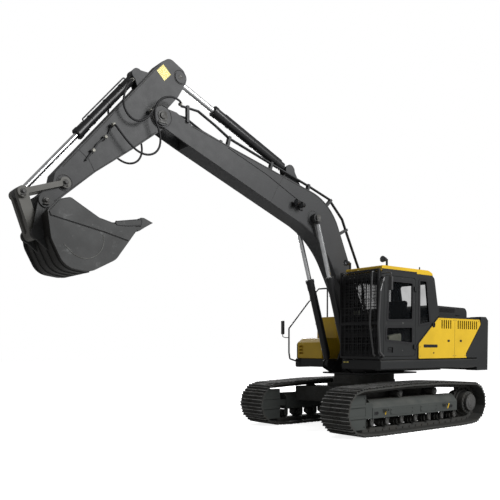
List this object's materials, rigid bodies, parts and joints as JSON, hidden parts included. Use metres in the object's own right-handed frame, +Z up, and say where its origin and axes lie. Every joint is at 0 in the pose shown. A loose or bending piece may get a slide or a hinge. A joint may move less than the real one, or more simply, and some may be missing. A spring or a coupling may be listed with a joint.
{
  "type": "crawler excavator",
  "caption": "Crawler excavator on two tracks with a slewing upper body, cab with guard and opening door, and a boom, arm and bucket moved by hydraulic cylinders.",
  "frame": {"origin": "on the ground, in the middle of the whole machine's length and width; the swing axis is 2.11 m behind it", "axes": "+X forward towards the bucket, +Y to the machine's left where the cab is, +Z up"},
  "size_m": [9.801, 3.2, 6.0941],
  "materials": {
    "black_paint": "matte",
    "bucket_paint": "satin",
    "chrome": "polished",
    "glass": "polished",
    "grey_paint": "satin",
    "hose_rubber": "matte",
    "link_paint": "satin",
    "seat_fabric": "matte",
    "track_steel": "rough",
    "yellow_paint": "satin"
  },
  "bodies": {
    "undercarriage": {"track_left": "track_steel", "track_right": "track_steel", "idler_left": "track_steel", "idler_right": "track_steel", "sprocket_left": "track_steel", "sprocket_right": "track_steel", "track_frame_left": "track_steel", "track_frame_right": "track_steel", "track_rollers_left": "track_steel", "track_rollers_right": "track_steel", "carrier_rollers_left": "track_steel", "carrier_rollers_right": "track_steel", "centre_frame": "track_steel", "swing_bearing": "track_steel"},
    "upper": {"swing_frame": "grey_paint", "counterweight": "grey_paint", "engine_block": "grey_paint", "engine_hood": "grey_paint", "side_panel_left": "yellow_paint", "side_panel_right": "yellow_paint", "fuel_tank": "yellow_paint", "tool_box": "yellow_paint", "handrails": "black_paint", "mirrors": "black_paint", "roof_lamps": "black_paint", "cab_body": "grey_paint", "cab_glass": "glass", "cab_roof": "yellow_paint", "cab_guard": "black_paint", "operator_seat": "seat_fabric"},
    "door": {"cab_door": "grey_paint", "door_glass": "glass"},
    "boom": {"boom": "grey_paint", "boom_pipes": "grey_paint", "boom_lamps": "black_paint"},
    "boom_cylinder_barrels": {"boom_cylinder_barrels": "black_paint"},
    "boom_cylinder_rods": {"boom_cylinder_rods": "chrome"},
    "arm": {"arm": "grey_paint", "bucket_pin": "link_paint", "arm_lines": "grey_paint", "arm_hose_left": "hose_rubber", "arm_hose_right": "hose_rubber", "bucket_hose_left": "hose_rubber", "bucket_hose_right": "hose_rubber"},
    "arm_cylinder_barrel": {"arm_cylinder_barrel": "black_paint"},
    "arm_cylinder_rod": {"arm_cylinder_rod": "chrome"},
    "bucket_cylinder_barrel": {"bucket_cylinder_barrel": "black_paint"},
    "bucket_cylinder_rod": {"bucket_cylinder_rod": "chrome"},
    "idler_links": {"idler_links": "link_paint"},
    "bucket_link": {"bucket_link": "link_paint"},
    "bucket": {"bucket": "bucket_paint", "bucket_teeth": "bucket_paint"}
  },
  "joints": [
    {"name": "swing", "type": "hinge", "parent": "undercarriage", "child": "upper", "pos_m": [-2.11, 0, 1.045], "axis": [0, 0, 1], "continuous": true},
    {"name": "cab_door", "type": "hinge", "parent": "upper", "child": "door", "pos_m": [-2.11, 1.361, 2.15], "axis": [0, 0, 1], "range_deg": [0, 165]},
    {"name": "boom", "type": "hinge", "parent": "upper", "child": "boom", "pos_m": [-1.93, 0, 1.825], "axis": [0, -1, 0], "range_deg": [-77, 31]},
    {"name": "arm", "type": "hinge", "parent": "boom", "child": "arm", "pos_m": [2.69, 0, 5.17], "axis": [0, 1, 0], "range_deg": [-46, 68]},
    {"name": "bucket", "type": "hinge", "parent": "arm", "child": "bucket", "pos_m": [4.52258, 0, 3.60483], "axis": [0, 1, 0], "range_deg": [-155, 8]},
    {"name": "boom_cylinder_barrel_turn", "type": "hinge", "parent": "upper", "child": "boom_cylinder_barrels", "pos_m": [-1.35, 0, 1.25], "axis": [0, -1, 0], "range_deg": [-76.69, 31.47]},
    {"name": "boom_cylinder_rod_slide", "type": "slide", "parent": "boom_cylinder_barrels", "child": "boom_cylinder_rods", "axis": [0.2985, 0, 0.9544], "range_m": [-1.0127, 0.4197]},
    {"name": "arm_cylinder_barrel_turn", "type": "hinge", "parent": "boom", "child": "arm_cylinder_barrel", "pos_m": [-0.01, 0, 4.83], "axis": [0, 1, 0], "range_deg": [-3.21, 4.26]},
    {"name": "arm_cylinder_rod_slide", "type": "slide", "parent": "arm_cylinder_barrel", "child": "arm_cylinder_rod", "axis": [0.9155, 0, 0.4022], "range_m": [-0.57, 0.8331]},
    {"name": "bucket_cylinder_barrel_turn", "type": "hinge", "parent": "arm", "child": "bucket_cylinder_barrel", "pos_m": [3.05289, 0, 5.74117], "axis": [0, 1, 0], "range_deg": [-10.61, 1.5]},
    {"name": "bucket_cylinder_rod_slide", "type": "slide", "parent": "bucket_cylinder_barrel", "child": "bucket_cylinder_rod", "axis": [0.6511, 0, -0.7589], "range_m": [-0.893, 0.0651]},
    {"name": "idler_link_turn", "type": "hinge", "parent": "arm", "child": "idler_links", "pos_m": [4.22963, 0, 3.90238], "axis": [0, 1, 0], "range_deg": [-99.58, 6.09]},
    {"name": "bucket_link_turn", "type": "hinge", "parent": "bucket", "child": "bucket_link", "pos_m": [4.63912, 0, 3.14953], "axis": [0, 1, 0], "range_deg": [-5.7, 92.14]}
  ],
  "couplings": [
    {"joint": "boom_cylinder_barrel_turn", "follows": "boom", "ratio": 0.983},
    {"joint": "boom_cylinder_rod_slide", "follows": "boom", "m_per_rad": 0.7387},
    {"joint": "arm_cylinder_barrel_turn", "follows": "arm", "ratio": 0.048},
    {"joint": "arm_cylinder_rod_slide", "follows": "arm", "m_per_rad": 0.6851},
    {"joint": "bucket_cylinder_barrel_turn", "follows": "bucket", "ratio": 0.062},
    {"joint": "bucket_cylinder_rod_slide", "follows": "bucket", "m_per_rad": 0.3227},
    {"joint": "idler_link_turn", "follows": "bucket", "ratio": 0.636},
    {"joint": "bucket_link_turn", "follows": "bucket", "ratio": -0.588}
  ]
}
